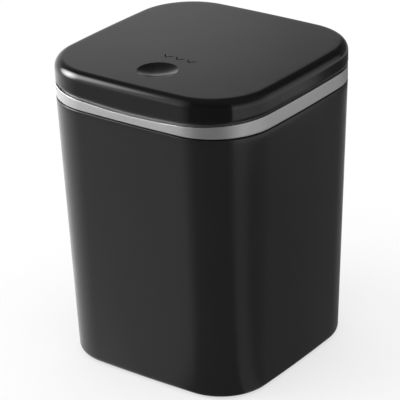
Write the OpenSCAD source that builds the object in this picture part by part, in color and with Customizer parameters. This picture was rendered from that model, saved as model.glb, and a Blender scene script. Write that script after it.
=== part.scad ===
// Countertop bin with a push-to-open lid, in millimetres.
// The origin is at the middle of the underside, +Z is up and the front is at -Y.

/* [Bin] */
// Width and depth of the bin across its rim, flat to flat
bin_w = 150; // [135:1:200]
// Height of the whole bin with the lid shut
bin_h = 196.5; // [160:0.5:280]
// Radius of the four corners at the rim
corner_r = 39; // [32:0.5:50]
// Radius of the slight outward bow of each side
side_arc_r = 1160; // [400:10:3000]
// How far each side leans in from the rim down to the foot
side_lean = 6; // [2:0.1:9]

/* [Bucket] */
// Wall thickness of the bucket
bucket_wall = 2.2; // [1.6:0.1:3]
// Thickness of the bucket floor
floor_t = 2.6; // [2:0.1:4]
// Rounding of the outside bottom edge
foot_r = 4; // [1.5:0.1:5]
// Rounding between the floor and the walls inside
floor_fillet = 7; // [4:0.5:12]
// Rounding of the outer edge of the rim
rim_round = 0.6; // [0.3:0.05:0.8]

/* [Base pad] */
// Width and depth of the non-slip pad under the bucket
pad_w = 104; // [80:1:112]
// Corner radius of the pad
pad_r = 14; // [8:1:20]
// Thickness of the pad
pad_t = 1.2; // [0.8:0.1:1.6]
// How far the pad stands proud of the bucket's underside
pad_proud = 0.4; // [0.2:0.1:0.6]

/* [Collar] */
// Height of the silver trim ring at the sides and the back
ring_h = 8.8; // [7:0.1:14]
// Thickness of the trim ring
ring_t = 2; // [1.6:0.1:2.4]
// Edge rounding of the trim ring
ring_round = 0.6; // [0.3:0.1:0.8]
// How much lower the ring runs at the middle of the front
front_drop = 4; // [2:0.5:5]
// How far round the plan the dip reaches on each side of the front, in degrees
dip_span = 66; // [40:1:80]
// Height of the shadow gap between the bucket rim and the trim ring
rim_gap = 0.8; // [0.5:0.1:1.5]
// How far the shadow gap runs in from the face of the ring
rim_gap_depth = 0.9; // [0.5:0.1:1.2]
// Wall thickness of the inner frame
frame_wall = 1.8; // [1.4:0.1:2.4]
// How far the frame's upstand rises above the ring
upstand_h = 2; // [1:0.1:2.4]
// How far the frame's skirt reaches down into the bucket
skirt_depth = 17; // [12:0.5:24]
// Side clearance between the skirt and the bucket wall
skirt_gap = 0.5; // [0.3:0.05:0.8]

/* [Lid] */
// Gap between the ring and the lid's lip at the sides and the back
lid_gap = 1; // [0.9:0.1:1.6]
// How much wider that gap is at the middle of the front, for the push
push_gap = 0.8; // [0.4:0.1:1.4]
// Height of the lid's straight skirt, from the lip at the sides up to the shoulder
lid_skirt_h = 7.4; // [7:0.1:10]
// How far the lid stands out past the rim on every side
lid_over = 0.2; // [0:0.05:0.6]
// Wall thickness of the lid's skirt
lid_wall = 1.8; // [1.4:0.1:2.2]
// Thickness of the lid's top
lid_top_t = 2.2; // [1.8:0.1:2.6]
// Width of the rounded shoulder, seen from above
shoulder_w = 5.5; // [4:0.5:7]
// Height of the rounded shoulder
shoulder_h = 6; // [4:0.5:7]
// Diameter of the finger dimple
dimple_d = 24.5; // [16:0.5:30]
// Depth of the finger dimple
dimple_depth = 2.3; // [2:0.1:3.5]
// Distance from the dimple's middle to the front of the bin
dimple_from_front = 30.7; // [26:0.1:36]
// Width of one engraved chevron
chevron_w = 6; // [4:0.5:8]
// Distance between chevrons
chevron_pitch = 8.5; // [8:0.5:12]
// Stroke width of the chevrons
chevron_line = 1; // [0.6:0.1:1.4]
// Depth of the engraving
chevron_depth = 0.4; // [0.2:0.1:0.8]
// Distance from the dimple's middle to the chevrons
chevron_from_dimple = 19; // [17:0.5:26]

/* [Lid liner] */
// Thickness of the liner plate
liner_t = 1.8; // [1.4:0.1:2.4]
// Height of the liner plate above the lid's lip
liner_rise = 2.8; // [2.6:0.1:3.6]
// Depth of the liner's rim below the plate
liner_rim_h = 3; // [2:0.1:3.2]
// Thickness of the liner's rim
liner_rim_t = 1.6; // [1.2:0.1:2]
// Distance from the rim of the bin in to the liner's rim
liner_rim_inset = 8; // [7:0.5:8.5]
// Distance of the lid screws from the middle, along both axes
lid_screw_xy = 46; // [40:1:52]

/* [Hinge] */
// Outer radius of the hinge knuckles
knuckle_r = 3.4; // [3:0.1:4]
// Gap between the lid's back and the knuckles
hinge_gap = 1.2; // [1:0.1:2]
// Height of the hinge axis above the ring
hinge_rise = 0.6; // [0.4:0.1:1.2]
// Radius of the hinge pin
pin_r = 1.25; // [1:0.05:1.5]
// Radial clearance of the pin in the lid's knuckles
pin_fit = 0.05; // [0.02:0.01:0.1]
// Half the length of the knuckled part of the hinge
hinge_half = 28; // [26:0.5:34]
// Width of each end knuckle and each lid knuckle
knuckle_len = 6; // [5:0.5:7]
// Width of the middle knuckle
mid_knuckle_len = 8; // [6:0.5:10]
// Gap between neighbouring knuckles
knuckle_gap = 0.4; // [0.3:0.05:0.6]

/* [Hinge springs] */
// Radius of the torsion springs to the middle of their wire
torsion_r = 2.2; // [2.1:0.05:2.4]
// Radius of the torsion spring wire
torsion_wire_r = 0.4; // [0.3:0.05:0.45]
// Turns in each torsion spring
torsion_turns = 5; // [4:1:7]

/* [Latch] */
// Distance from the front of the bin to the middle of the latch
latch_from_front = 15; // [14.5:0.5:16]
// Inside width of the latch housing
latch_in_w = 12.2; // [12:0.1:13]
// Inside depth of the latch housing, front to back
latch_in_d = 9.4; // [9:0.1:10]
// Wall thickness of the latch housing
latch_wall = 1.5; // [1.2:0.1:1.8]
// Height of the latch housing
latch_h = 20.4; // [20:0.2:22]
// Sliding clearance of the latch slider on each side
slider_gap = 0.4; // [0.3:0.05:0.5]
// Height of the latch slider's block
slider_h = 8.2; // [8:0.1:9]
// Radius of the jaw pins
jaw_pin_r = 0.6; // [0.5:0.05:0.7]
// Height of the jaws above their pins
jaw_h = 7.2; // [7:0.1:7.6]
// Radius of the latch spring to the middle of its wire
latch_spring_r = 2.2; // [2:0.05:2.3]
// Radius of the latch spring wire
latch_wire_r = 0.35; // [0.25:0.05:0.4]
// Turns in the latch spring
latch_spring_turns = 5; // [4:1:7]
// Radius of the cam follower's wire
follower_r = 0.4; // [0.3:0.05:0.45]

/* [Screws] */
// Shank radius of every screw
screw_r = 1.1; // [0.9:0.05:1.3]
// Head radius of every screw
screw_head_r = 2; // [1.8:0.1:2.3]
// Head height of every screw
screw_head_h = 1.2; // [1:0.1:1.4]
// Radial clearance round every screw
screw_fit = 0.05; // [0.02:0.01:0.1]

/* [Hidden] */
$fn = 48;

// Segments along one side and round one corner of the outline
side_steps = 4;
corner_steps = 6;
// Segments in a small edge rounding and in the lid's shoulder
edge_steps = 2;
shoulder_steps = 6;
dimple_steps = 4;
// A small overlap that joins shapes which would otherwise only touch
weld = 0.5;

// Heights, from the foot up
foot_z = pad_proud;
lip_z = bin_h - shoulder_h - lid_skirt_h;
ring_z1 = lip_z - lid_gap;
ring_z0 = ring_z1 - ring_h;
rim_z = ring_z0 - rim_gap;
upstand_z = ring_z1 + upstand_h;
skirt_z = rim_z - skirt_depth;
half_w = bin_w / 2;

// Outline of the bin: four bowed sides with four corner arcs, moved in by inset
side_c = half_w - side_arc_r;
corner_c = (side_c + sqrt(2 * pow(side_arc_r - corner_r, 2) - side_c * side_c)) / 2;
side_angle = atan2(corner_c, corner_c - side_c);

function turned(p, quarter) =
    quarter == 0 ? p : turned([-p.y, p.x], quarter - 1);

function quarter_outline(inset) = concat(
    [for (i = [0 : side_steps - 1])
        let (a = side_angle * (2 * i / side_steps - 1))
        [side_c + (side_arc_r - inset) * cos(a), (side_arc_r - inset) * sin(a)]],
    [for (i = [0 : corner_steps - 1])
        let (a = side_angle + (90 - 2 * side_angle) * i / corner_steps)
        [corner_c + (corner_r - inset) * cos(a), corner_c + (corner_r - inset) * sin(a)]]
);

function outline(inset) =
    [for (quarter = [0 : 3]) for (p = quarter_outline(inset)) turned(p, quarter)];

// Share of the dip at a point: one smooth wave round the front, from the point's angle in plan
function dip(p) =
    let (turn = atan2(abs(p.x), -p.y))
    turn < dip_span ? (1 + cos(180 * turn / dip_span)) / 2 : 0;

// One level of a shell: station is [inset, height, depth of its dip at the front]
function level(station) =
    [for (p = outline(station[0])) [p.x, p.y, station[1] - station[2] * dip(p)]];

// Stations round an edge: from the angle a0 to a1 about a middle, with radii along each axis
function edge(inset, z, drop, r_in, r_z, a0, a1, steps) =
    [for (i = [0 : steps])
        let (a = a0 + (a1 - a0) * i / steps)
        [inset + r_in * cos(a), z + r_z * sin(a), drop]];

// A shell through its stations, closed on itself, or capped at both ends
module shell(stations, capped) {
    levels = [for (s = stations) level(s)];
    n = len(levels[0]);
    m = len(levels);
    points = [for (ring = levels) for (p = ring) p];
    last = capped ? m - 2 : m - 1;
    walls = [for (j = [0 : last]) for (i = [0 : n - 1])
        let (a = j * n + i)
        let (b = j * n + (i + 1) % n)
        let (c = ((j + 1) % m) * n + i)
        let (d = ((j + 1) % m) * n + (i + 1) % n)
        for (f = [[a, c, d], [a, d, b]]) f];
    caps = capped
        ? [[for (i = [0 : n - 1]) i], [for (i = [n - 1 : -1 : 0]) (m - 1) * n + i]]
        : [];
    polyhedron(points = points, faces = concat(walls, caps), convexity = 8);
}

// A shape drawn as [y, z] and run along X from x0 to x1
module along_x(x0, x1) {
    translate([x0, 0, 0])
        rotate([90, 0, 90])
            linear_extrude(height = x1 - x0)
                children();
}

// A shape drawn as [x, z] and run along Y from y0 to y1
module along_y(y0, y1) {
    translate([0, y1, 0])
        rotate([90, 0, 0])
            linear_extrude(height = y1 - y0)
                children();
}

// A round tube along a path, with straight ends
module tube(path, r, sides) {
    n = len(path);
    rings = [for (i = [0 : n - 1])
        let (ahead = path[min(i + 1, n - 1)] - path[max(i - 1, 0)])
        let (t = ahead / norm(ahead))
        let (side = cross(t, abs(t.x) > 0.9 ? [0, 1, 0] : [1, 0, 0]))
        let (u = side / norm(side))
        let (v = cross(t, u))
        for (k = [0 : sides - 1])
            path[i] + r * (cos(360 * k / sides) * u + sin(360 * k / sides) * v)];
    walls = [for (i = [0 : n - 2]) for (k = [0 : sides - 1])
        let (a = i * sides + k)
        let (b = i * sides + (k + 1) % sides)
        for (f = [[a, b, b + sides], [a, b + sides, a + sides]]) f];
    caps = [[for (k = [sides - 1 : -1 : 0]) k], [for (k = [0 : sides - 1]) (n - 1) * sides + k]];
    polyhedron(points = rings, faces = concat(walls, caps), convexity = 10);
}

// Points of a spring wound about Z from z0 to z1
spring_rings = 8;
spring_sides = 6;
function spring_path(r, z0, z1, turns) =
    [for (i = [0 : turns * spring_rings])
        [r * cos(360 * i / spring_rings), r * sin(360 * i / spring_rings),
            z0 + (z1 - z0) * i / (turns * spring_rings)]];

// Least gap of a wound wire to itself, over points at least half a turn apart
function least_gap(path, wire_r) =
    min([for (i = [0 : len(path) - 1]) for (j = [i + spring_rings / 2 : 1 : len(path) - 1])
        norm(path[i] - path[j])]) - 2 * wire_r;

// A screw with a cross recess, its head above z = 0 and its shank below
recess_w = 0.6;
recess_depth = 0.7;
recess_half = 0.6 * screw_head_r;
module screw(length) {
    difference() {
        union() {
            cylinder(r = screw_head_r, h = screw_head_h);
            translate([0, 0, -length])
                cylinder(r = screw_r, h = length + weld);
        }
        for (turn = [0, 90])
            rotate([0, 0, turn])
                translate([-recess_half, -recess_w / 2, screw_head_h - recess_depth])
                    cube([2 * recess_half, recess_w, recess_depth + weld]);
    }
}

// Bucket

function lean(z) = side_lean * (rim_z - z) / (rim_z - foot_z);

inside_z = foot_z + floor_t;

module bucket() {
    foot_in = lean(foot_z) + foot_r;
    fillet_in = lean(inside_z + floor_fillet) + bucket_wall + floor_fillet;
    inner_round = rim_round / 2;
    stations = concat(
        edge(foot_in, foot_z + foot_r, 0, foot_r, foot_r, 270, 180, edge_steps + 1),
        edge(rim_round, rim_z - rim_round, 0, rim_round, rim_round, 180, 90, edge_steps),
        edge(bucket_wall - inner_round, rim_z - inner_round, 0, inner_round, inner_round, 90, 0, 1),
        edge(fillet_in, inside_z + floor_fillet, 0, floor_fillet, floor_fillet, 180, 270,
            edge_steps + 1)
    );
    color("#2b2b2c")
        difference() {
            shell(stations, true);
            pad_block(foot_z - weld, pad_t - pad_proud + weld, pad_fit);
        }
}

// Base pad: a square sheet with round corners, let into the underside

pad_fit = 0.1;
pad_steps = 8;

function pad_corner(quarter, fit) =
    [for (i = [0 : pad_steps])
        let (a = 90 * i / pad_steps)
        let (c = pad_w / 2 - pad_r)
        turned([c + (pad_r + fit) * cos(a), c + (pad_r + fit) * sin(a)], quarter)];

module pad_block(z, height, fit) {
    translate([0, 0, z])
        linear_extrude(height = height)
            polygon([for (quarter = [0 : 3]) for (p = pad_corner(quarter, fit)) p]);
}

module base_pad() {
    color("#1c1c1c")
        pad_block(foot_z - pad_proud, pad_t, 0);
}

// Trim ring

// The hinge passes through a notch in the back of the ring
notch_strip = 2.5;
notch_z = ring_z0 + notch_strip;
notch_clear = 0.3;

module collar_ring() {
    stations = concat(
        edge(ring_round, ring_z0 + ring_round, 0, ring_round, ring_round, 270, 180, edge_steps),
        edge(ring_round, ring_z1 - ring_round, front_drop, ring_round, ring_round, 180, 90, edge_steps),
        [[ring_t, ring_z1, front_drop], [ring_t, ring_z0, 0]]
    );
    notch_half = hinge_half + notch_clear;
    color("#b9bbbc")
        difference() {
            shell(stations, false);
            translate([-notch_half, half_w - 2 * ring_t - weld, notch_z])
                cube([2 * notch_half, 3 * ring_t, ring_h]);
        }
}

// Inner frame of the collar

upstand_step = 0.4;
upstand_in = ring_t + upstand_step;
upstand_round = 0.4;
frame_in = upstand_in + frame_wall;
skirt_in = bucket_wall + skirt_gap;

// Flat pad at the front that carries the latch
latch_y = latch_from_front - half_w;
latch_back_y = latch_y - latch_in_d / 2 - latch_wall;
latch_below_ring = 2.2;
latch_top_z = ring_z1 - latch_below_ring;
latch_z = latch_top_z - latch_h;
head_clear = 0.3;
ear_w = 2 * (screw_head_r + head_clear);
latch_half = latch_in_w / 2 + latch_wall;
ear_x = latch_half + ear_w / 2;
ear_rise = 9.5;
ear_z = latch_z + ear_rise;
ear_h = 8;
ear_t = 2;
latch_screw_len = 5;

module latch_mount() {
    mount_half = latch_half + ear_w;
    translate([-mount_half, -half_w + frame_in - weld, latch_z])
        cube([2 * mount_half, latch_back_y + half_w - frame_in + weld, latch_h]);
}

module latch_screw_holes() {
    for (side = [-1, 1])
        translate([side * ear_x, latch_back_y + weld, ear_z])
            rotate([90, 0, 0])
                cylinder(r = screw_r + screw_fit, h = latch_screw_len + weld);
}

// Hinge axis, behind the back of the lid
hinge_y = half_w + lid_over + hinge_gap + knuckle_r;
hinge_z = ring_z1 + hinge_rise;
back_in_y = half_w - ring_t - weld;

// Where the knuckles lie along X, as [start, length], for the collar and for the lid
lid_knuckle_x = hinge_half - 2 * knuckle_len - knuckle_gap;
collar_knuckles = [
    [-hinge_half, knuckle_len],
    [-mid_knuckle_len / 2, mid_knuckle_len],
    [hinge_half - knuckle_len, knuckle_len]
];
lid_knuckles = [
    [-lid_knuckle_x - knuckle_len, knuckle_len],
    [lid_knuckle_x, knuckle_len]
];

// Depth of the holes that take the springs' straight ends
tang_hole = 2.2;
tang_fit = 0.1;

module tang_holes(x) {
    translate([x - tang_hole, hinge_y, hinge_z + torsion_r])
        rotate([0, 90, 0])
            cylinder(r = torsion_wire_r + tang_fit, h = 2 * tang_hole);
}

module pin_bore(fit) {
    translate([-2 * hinge_half, hinge_y, hinge_z])
        rotate([0, 90, 0])
            cylinder(r = pin_r + fit, h = 4 * hinge_half);
}

module knuckle_disc() {
    translate([hinge_y, hinge_z])
        circle(r = knuckle_r);
}

// Angle on the knuckle where the arm's underside meets it
under_angle = -50;

module collar_knuckle_shape() {
    knuckle_disc();
    polygon([
        [back_in_y, notch_z + notch_clear],
        [half_w, notch_z + notch_clear],
        [hinge_y + knuckle_r * cos(under_angle), hinge_z + knuckle_r * sin(under_angle)],
        [hinge_y, hinge_z],
        [back_in_y, ring_z1 - notch_clear]
    ]);
}

module hinge_block() {
    bow = half_w - outline_y(hinge_half);
    along_x(-hinge_half, hinge_half)
        polygon([
            [back_in_y, notch_z + notch_clear],
            [half_w - bow - notch_clear, notch_z + notch_clear],
            [half_w - bow - notch_clear, ring_z1 - notch_clear],
            [back_in_y, ring_z1 - notch_clear]
        ]);
    for (k = collar_knuckles)
        along_x(k[0], k[0] + k[1])
            collar_knuckle_shape();
}

// Distance of the outline from the middle at a place x along one side
function outline_y(x) = side_c + sqrt(side_arc_r * side_arc_r - x * x);

module collar_frame() {
    low_in = skirt_in + lean(skirt_z);
    stations = concat(
        [
            [low_in, skirt_z, 0],
            [skirt_in, rim_z, 0],
            [rim_gap_depth, rim_z, 0],
            [rim_gap_depth, ring_z0, 0],
            [ring_t, ring_z0, 0],
            [ring_t, ring_z1 - front_drop, 0],
            [upstand_in, ring_z1 - front_drop + upstand_step, 0]
        ],
        edge(upstand_in + upstand_round, upstand_z - upstand_round, 0, upstand_round, upstand_round,
            180, 90, 1),
        edge(frame_in - upstand_round, upstand_z - upstand_round, 0, upstand_round, upstand_round,
            90, 0, 1),
        [[low_in + frame_wall, skirt_z, 0]]
    );
    color("#1d1d1e")
        difference() {
            union() {
                shell(stations, false);
                latch_mount();
                hinge_block();
            }
            latch_screw_holes();
            pin_bore(pin_fit / 2);
            for (side = [-1, 1])
                tang_holes(side * mid_knuckle_len / 2);
        }
}

// Hinge pin, with a formed head at one end

pin_head_r = 1.9;
pin_head_t = 0.8;

module hinge_pin() {
    color("#c4c6c8")
        translate([-hinge_half, hinge_y, hinge_z])
            rotate([0, 90, 0]) {
                translate([0, 0, -pin_head_t])
                    cylinder(r = pin_head_r, h = pin_head_t);
                cylinder(r = pin_r, h = 2 * hinge_half + pin_head_t / 2);
            }
}

// Torsion springs, each wound round the pin between a lid knuckle and the middle knuckle

spring_end_gap = 0.4;
spring_x0 = mid_knuckle_len / 2 + torsion_wire_r + spring_end_gap;
spring_x1 = lid_knuckle_x - torsion_wire_r - spring_end_gap;
torsion_path = concat(
    [[torsion_r, 0, spring_x0 - torsion_wire_r - tang_hole]],
    spring_path(torsion_r, spring_x0, spring_x1, torsion_turns),
    [[torsion_r, 0, spring_x1 + torsion_wire_r + tang_hole]]
);

module torsion_spring() {
    color("#a9acae")
        translate([0, hinge_y, hinge_z])
            rotate([0, -90, 180])
                tube(torsion_path, torsion_wire_r, spring_sides);
}

module hinge_spring_right() {
    torsion_spring();
}

module hinge_spring_left() {
    mirror([1, 0, 0])
        torsion_spring();
}

// Lid cover

lid_out = -lid_over;
lid_in = lid_out + lid_wall;
lip_round = 0.5;
lip_drop = front_drop - push_gap;
ceiling_z = bin_h - lid_top_t;
inner_shoulder = shoulder_w - 1;
dimple_y = dimple_from_front - half_w;
dimple_ball_r = (pow(dimple_d / 2, 2) + pow(dimple_depth, 2)) / (2 * dimple_depth);
dimple_arc = asin(dimple_d / 2 / dimple_ball_r);
liner_z = lip_z + liner_rise;
boss_r = 3;
lid_screw_len = 6;

// The lid's hinge arms: how far up the skirt they reach, and the angle where they meet the knuckle
arm_z0 = lip_z + 0.6;
arm_z1 = lip_z + 7;
arm_top_out = 1.6;
arm_angle = 45;

module lid_knuckle_shape() {
    knuckle_disc();
    polygon([
        [half_w - lid_wall / 2, arm_z0],
        [hinge_y, hinge_z],
        [hinge_y + knuckle_r * cos(arm_angle), hinge_z + knuckle_r * sin(arm_angle)],
        [half_w + arm_top_out, arm_z1],
        [half_w - lid_wall / 2, arm_z1]
    ]);
}

// Finger dimple: a round dish cut from a ball in rings
module dimple() {
    rim = [for (i = [0 : dimple_steps])
        let (a = dimple_arc * i / dimple_steps)
        dimple_ball_r * [sin(a), 1 - cos(a)]];
    top = dimple_depth + weld;
    translate([0, dimple_y, bin_h - dimple_depth])
        rotate_extrude()
            polygon(concat(rim, [[dimple_d / 2, top], [0, top]]));
}

// Underside of the dimple: a cone that leaves at least the thickness of the lid's top
module dimple_boss() {
    translate([0, dimple_y, ceiling_z - dimple_depth])
        cylinder(r1 = dimple_d / 4, r2 = dimple_d / 2 + lid_top_t, h = dimple_depth + weld);
}

module chevron() {
    rise = chevron_w / 2;
    low_edge = [[-chevron_w / 2, rise], [0, 0], [chevron_w / 2, rise]];
    stroke = chevron_line * sqrt(2);
    polygon(concat(low_edge, [for (i = [2 : -1 : 0]) low_edge[i] + [0, stroke]]));
}

module lid_cover() {
    stations = concat(
        edge(lid_in + inner_shoulder, ceiling_z - inner_shoulder, 0, inner_shoulder, inner_shoulder,
            90, 180, edge_steps + 1),
        edge(lid_in - lip_round, lip_z + lip_round, lip_drop, lip_round, lip_round, 0, -90, 1),
        edge(lid_out + lip_round, lip_z + lip_round, lip_drop, lip_round, lip_round, 270, 180, edge_steps),
        edge(lid_out + shoulder_w, bin_h - shoulder_h, 0, shoulder_w, shoulder_h, 180, 90,
            shoulder_steps)
    );
    color("#232324")
        difference() {
            union() {
                shell(stations, true);
                dimple_boss();
                for (x = [-1, 1])
                    for (y = [-1, 1])
                        translate([x * lid_screw_xy, y * lid_screw_xy, liner_z + liner_t])
                            cylinder(r = boss_r, h = ceiling_z - liner_z - liner_t + weld);
                for (k = lid_knuckles)
                    along_x(k[0], k[0] + k[1])
                        lid_knuckle_shape();
            }
            dimple();
            for (i = [-1 : 1])
                translate([i * chevron_pitch, dimple_y + chevron_from_dimple, bin_h - chevron_depth])
                    linear_extrude(height = chevron_depth + weld)
                        chevron();
            for (x = [-1, 1])
                for (y = [-1, 1])
                    translate([x * lid_screw_xy, y * lid_screw_xy, liner_z - weld])
                        cylinder(r = screw_r + screw_fit, h = lid_screw_len + weld);
            pin_bore(pin_fit);
            for (side = [-1, 1])
                tang_holes(side * lid_knuckle_x);
        }
}

// Lid liner: the flat plate that closes the lid from below, with a rim that enters the collar

liner_fit = 0.2;
liner_boss_r = 2.6;
liner_boss_h = 3;
liner_boss_skin = 0.5;
liner_hole_h = liner_t + liner_boss_h - liner_boss_skin;
striker_screw_x = 6.6;

module lid_liner() {
    stations = [
        [liner_rim_inset + liner_rim_t, liner_z, 0],
        [liner_rim_inset + liner_rim_t, liner_z - liner_rim_h, 0],
        [liner_rim_inset, liner_z - liner_rim_h, 0],
        [liner_rim_inset, liner_z, 0],
        [lid_in + liner_fit, liner_z, 0],
        [lid_in + liner_fit, liner_z + liner_t, 0]
    ];
    color("#262627")
        difference() {
            union() {
                shell(stations, true);
                for (side = [-1, 1])
                    translate([side * striker_screw_x, latch_y, liner_z + liner_t - weld])
                        cylinder(r = liner_boss_r, h = liner_boss_h + weld);
            }
            for (x = [-1, 1])
                for (y = [-1, 1])
                    translate([x * lid_screw_xy, y * lid_screw_xy, liner_z - weld])
                        cylinder(r = screw_r + screw_fit, h = liner_t + 2 * weld);
            for (side = [-1, 1])
                translate([side * striker_screw_x, latch_y, liner_z - weld])
                    cylinder(r = screw_r + screw_fit, h = liner_hole_h + weld);
        }
}

module lid_screws() {
    color("#8f9294")
        for (x = [-1, 1])
            for (y = [-1, 1])
                translate([x * lid_screw_xy, y * lid_screw_xy, liner_z])
                    rotate([180, 0, 0])
                        screw(lid_screw_len - screw_fit);
}

// Striker: the tongue under the lid that the latch takes hold of

striker_w = 18;
striker_d = 9;
striker_plate_t = 2.4;
striker_z = liner_z - striker_plate_t;
striker_half_d = 2.5;
stem_half = 1.3;
head_half = 2.4;
head_tip_half = 1.2;
head_band = 1;
head_h = 3.4;
hook_clear = 0.3;

module striker() {
    head_top_z = jaw_hook_z - hook_clear;
    head_mid_z = head_top_z - head_band;
    head_low_z = head_top_z - head_h;
    color("#303031")
        difference() {
            union() {
                translate([-striker_w / 2, latch_y - striker_d / 2, striker_z])
                    cube([striker_w, striker_d, striker_plate_t]);
                along_y(latch_y - striker_half_d, latch_y + striker_half_d)
                    polygon([
                        [-stem_half, striker_z + weld],
                        [-stem_half, head_top_z],
                        [-head_half, head_top_z],
                        [-head_half, head_mid_z],
                        [-head_tip_half, head_low_z],
                        [head_tip_half, head_low_z],
                        [head_half, head_mid_z],
                        [head_half, head_top_z],
                        [stem_half, head_top_z],
                        [stem_half, striker_z + weld]
                    ]);
            }
            for (side = [-1, 1])
                translate([side * striker_screw_x, latch_y, striker_z - weld]) {
                    cylinder(r = screw_r + screw_fit, h = striker_plate_t + 2 * weld);
                    cylinder(r = screw_head_r + screw_fit, h = screw_head_h + weld);
                }
        }
}

module striker_screws() {
    color("#8f9294")
        for (side = [-1, 1])
            translate([side * striker_screw_x, latch_y, striker_z + screw_head_h])
                rotate([180, 0, 0])
                    screw(striker_plate_t - screw_head_h + liner_hole_h - screw_fit);
}

// Latch housing: an open-topped box with two ears

slider_rise = 3.9;
slider_rest_z = latch_z + latch_wall + slider_rise;
follower_pivot_rise = 1.2;
follower_z = latch_z + latch_wall + follower_pivot_rise;
follower_from_wall = 0.95;
follower_v = latch_in_d / 2 - follower_from_wall;

module latch_housing() {
    half_d = latch_in_d / 2;
    color("#3a3b3c")
        difference() {
            union() {
                translate([-latch_half, latch_y - half_d - latch_wall, latch_z])
                    cube([2 * latch_half, latch_in_d + 2 * latch_wall, latch_h]);
                translate([-latch_half - ear_w, latch_back_y, ear_z - ear_h / 2])
                    cube([2 * (latch_half + ear_w), ear_t, ear_h]);
            }
            translate([-latch_in_w / 2, latch_y - half_d, latch_z + latch_wall])
                cube([latch_in_w, latch_in_d, latch_h]);
            for (side = [-1, 1])
                translate([side * ear_x, latch_back_y + ear_t + weld, ear_z])
                    rotate([90, 0, 0])
                        cylinder(r = screw_r + screw_fit, h = ear_t + 2 * weld);
            translate([0, latch_y + half_d - weld, follower_z])
                rotate([-90, 0, 0])
                    cylinder(r = follower_r + screw_fit, h = latch_wall + 2 * weld);
        }
}

module latch_screws() {
    color("#8f9294")
        for (side = [-1, 1])
            translate([side * ear_x, latch_back_y + ear_t, ear_z])
                rotate([-90, 0, 0])
                    screw(ear_t + latch_screw_len - 2 * screw_fit);
}

// Latch slider: rides in the housing on its spring, and carries the jaws between two cheeks

slider_half_w = latch_in_w / 2 - slider_gap;
slider_half_d = latch_in_d / 2 - slider_gap;
slider_top_z = slider_rest_z + slider_h;
cheek_t = 1.1;
cheek_h = 3.6;
jaw_pin_rise = 1.8;
jaw_z = slider_top_z + jaw_pin_rise;
jaw_x = 4;
hook_rise = 5.3;
jaw_hook_z = jaw_z + hook_rise;
spring_v = -1;
spring_bore_gap = 0.35;
spring_bore_r = latch_spring_r + latch_wire_r + spring_bore_gap;
spring_bore_depth = 5.6;
cam_half = 2.4;
cam_depth = 1.6;
cam_roof = 0.8;
cam_floor_v = slider_half_d - cam_depth;
cam_tail = 1.8;
cam_tail_v = 2.3;

// The heart-shaped island that the follower's tip goes round, as [x, height above the slider's foot]
island_t = 0.5;
island = [[-1.9, 1.6], [-0.7, 2.6], [-0.7, 4.6], [-1.3, 4], [-1.9, 4.6]];

module latch_slider() {
    color("#d8d9d6")
        translate([0, latch_y, 0])
            difference() {
                union() {
                    translate([-slider_half_w, -slider_half_d, slider_rest_z])
                        cube([2 * slider_half_w, 2 * slider_half_d, slider_h]);
                    for (v = [-slider_half_d, slider_half_d - cheek_t])
                        translate([-slider_half_w, v, slider_top_z - weld])
                            cube([2 * slider_half_w, cheek_t, cheek_h + weld]);
                    translate([-slider_half_w, cam_tail_v, slider_rest_z - cam_tail])
                        cube([2 * slider_half_w, slider_half_d - cam_tail_v, cam_tail + weld]);
                }
                translate([0, spring_v, slider_rest_z - weld])
                    cylinder(r = spring_bore_r, h = spring_bore_depth + weld);
                difference() {
                    translate([-cam_half, cam_floor_v, slider_rest_z - cam_tail - weld])
                        cube([2 * cam_half, cam_depth + weld, slider_h + cam_tail + weld - cam_roof]);
                    along_y(cam_floor_v - weld, cam_floor_v + island_t)
                        translate([0, slider_rest_z])
                            polygon(island);
                }
                for (side = [-1, 1])
                    translate([side * jaw_x, slider_half_d + weld, jaw_z])
                        rotate([90, 0, 0])
                            cylinder(r = jaw_pin_r, h = 2 * slider_half_d + 2 * weld);
            }
}

// Jaws: two arms with hooked tips, each on its own pin

jaw_side_gap = 0.15;
jaw_half_d = slider_half_d - cheek_t - jaw_side_gap;
jaw_barrel_r = 1.3;
jaw_outer_x = 5.1;
jaw_inner_x = 3.7;
jaw_tip_gap = 0.4;
jaw_tip_x = head_half + jaw_tip_gap;
jaw_tip_h = 0.8;
jaw_chamfer = [0.7, 0.9];

module jaw() {
    color("#d8d9d6")
        difference() {
            along_y(latch_y - jaw_half_d, latch_y + jaw_half_d) {
                translate([jaw_x, jaw_z])
                    circle(r = jaw_barrel_r);
                polygon([
                    [jaw_inner_x, jaw_z],
                    [jaw_outer_x, jaw_z],
                    [jaw_outer_x, jaw_z + jaw_h - jaw_chamfer.y],
                    [jaw_outer_x - jaw_chamfer.x, jaw_z + jaw_h],
                    [jaw_inner_x, jaw_z + jaw_h],
                    [jaw_tip_x, jaw_hook_z + jaw_tip_h],
                    [jaw_tip_x, jaw_hook_z],
                    [jaw_inner_x, jaw_hook_z]
                ]);
            }
            translate([jaw_x, latch_y + jaw_half_d + weld, jaw_z])
                rotate([90, 0, 0])
                    cylinder(r = jaw_pin_r + pin_fit, h = 2 * jaw_half_d + 2 * weld);
        }
}

module latch_jaw_right() {
    jaw();
}

module latch_jaw_left() {
    mirror([1, 0, 0])
        jaw();
}

module jaw_pins() {
    color("#c4c6c8")
        for (side = [-1, 1])
            translate([side * jaw_x, latch_y + slider_half_d, jaw_z])
                rotate([90, 0, 0])
                    cylinder(r = jaw_pin_r, h = 2 * slider_half_d);
}

// Latch spring, from the housing floor up into the slider

latch_spring_z0 = latch_z + latch_wall + latch_wire_r;
latch_spring_z1 = slider_rest_z + spring_bore_depth - latch_wire_r;
latch_spring_path = spring_path(latch_spring_r, latch_spring_z0, latch_spring_z1, latch_spring_turns);

module latch_spring() {
    color("#a9acae")
        translate([0, latch_y + spring_v, 0])
            tube(latch_spring_path, latch_wire_r, spring_sides);
}

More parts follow.
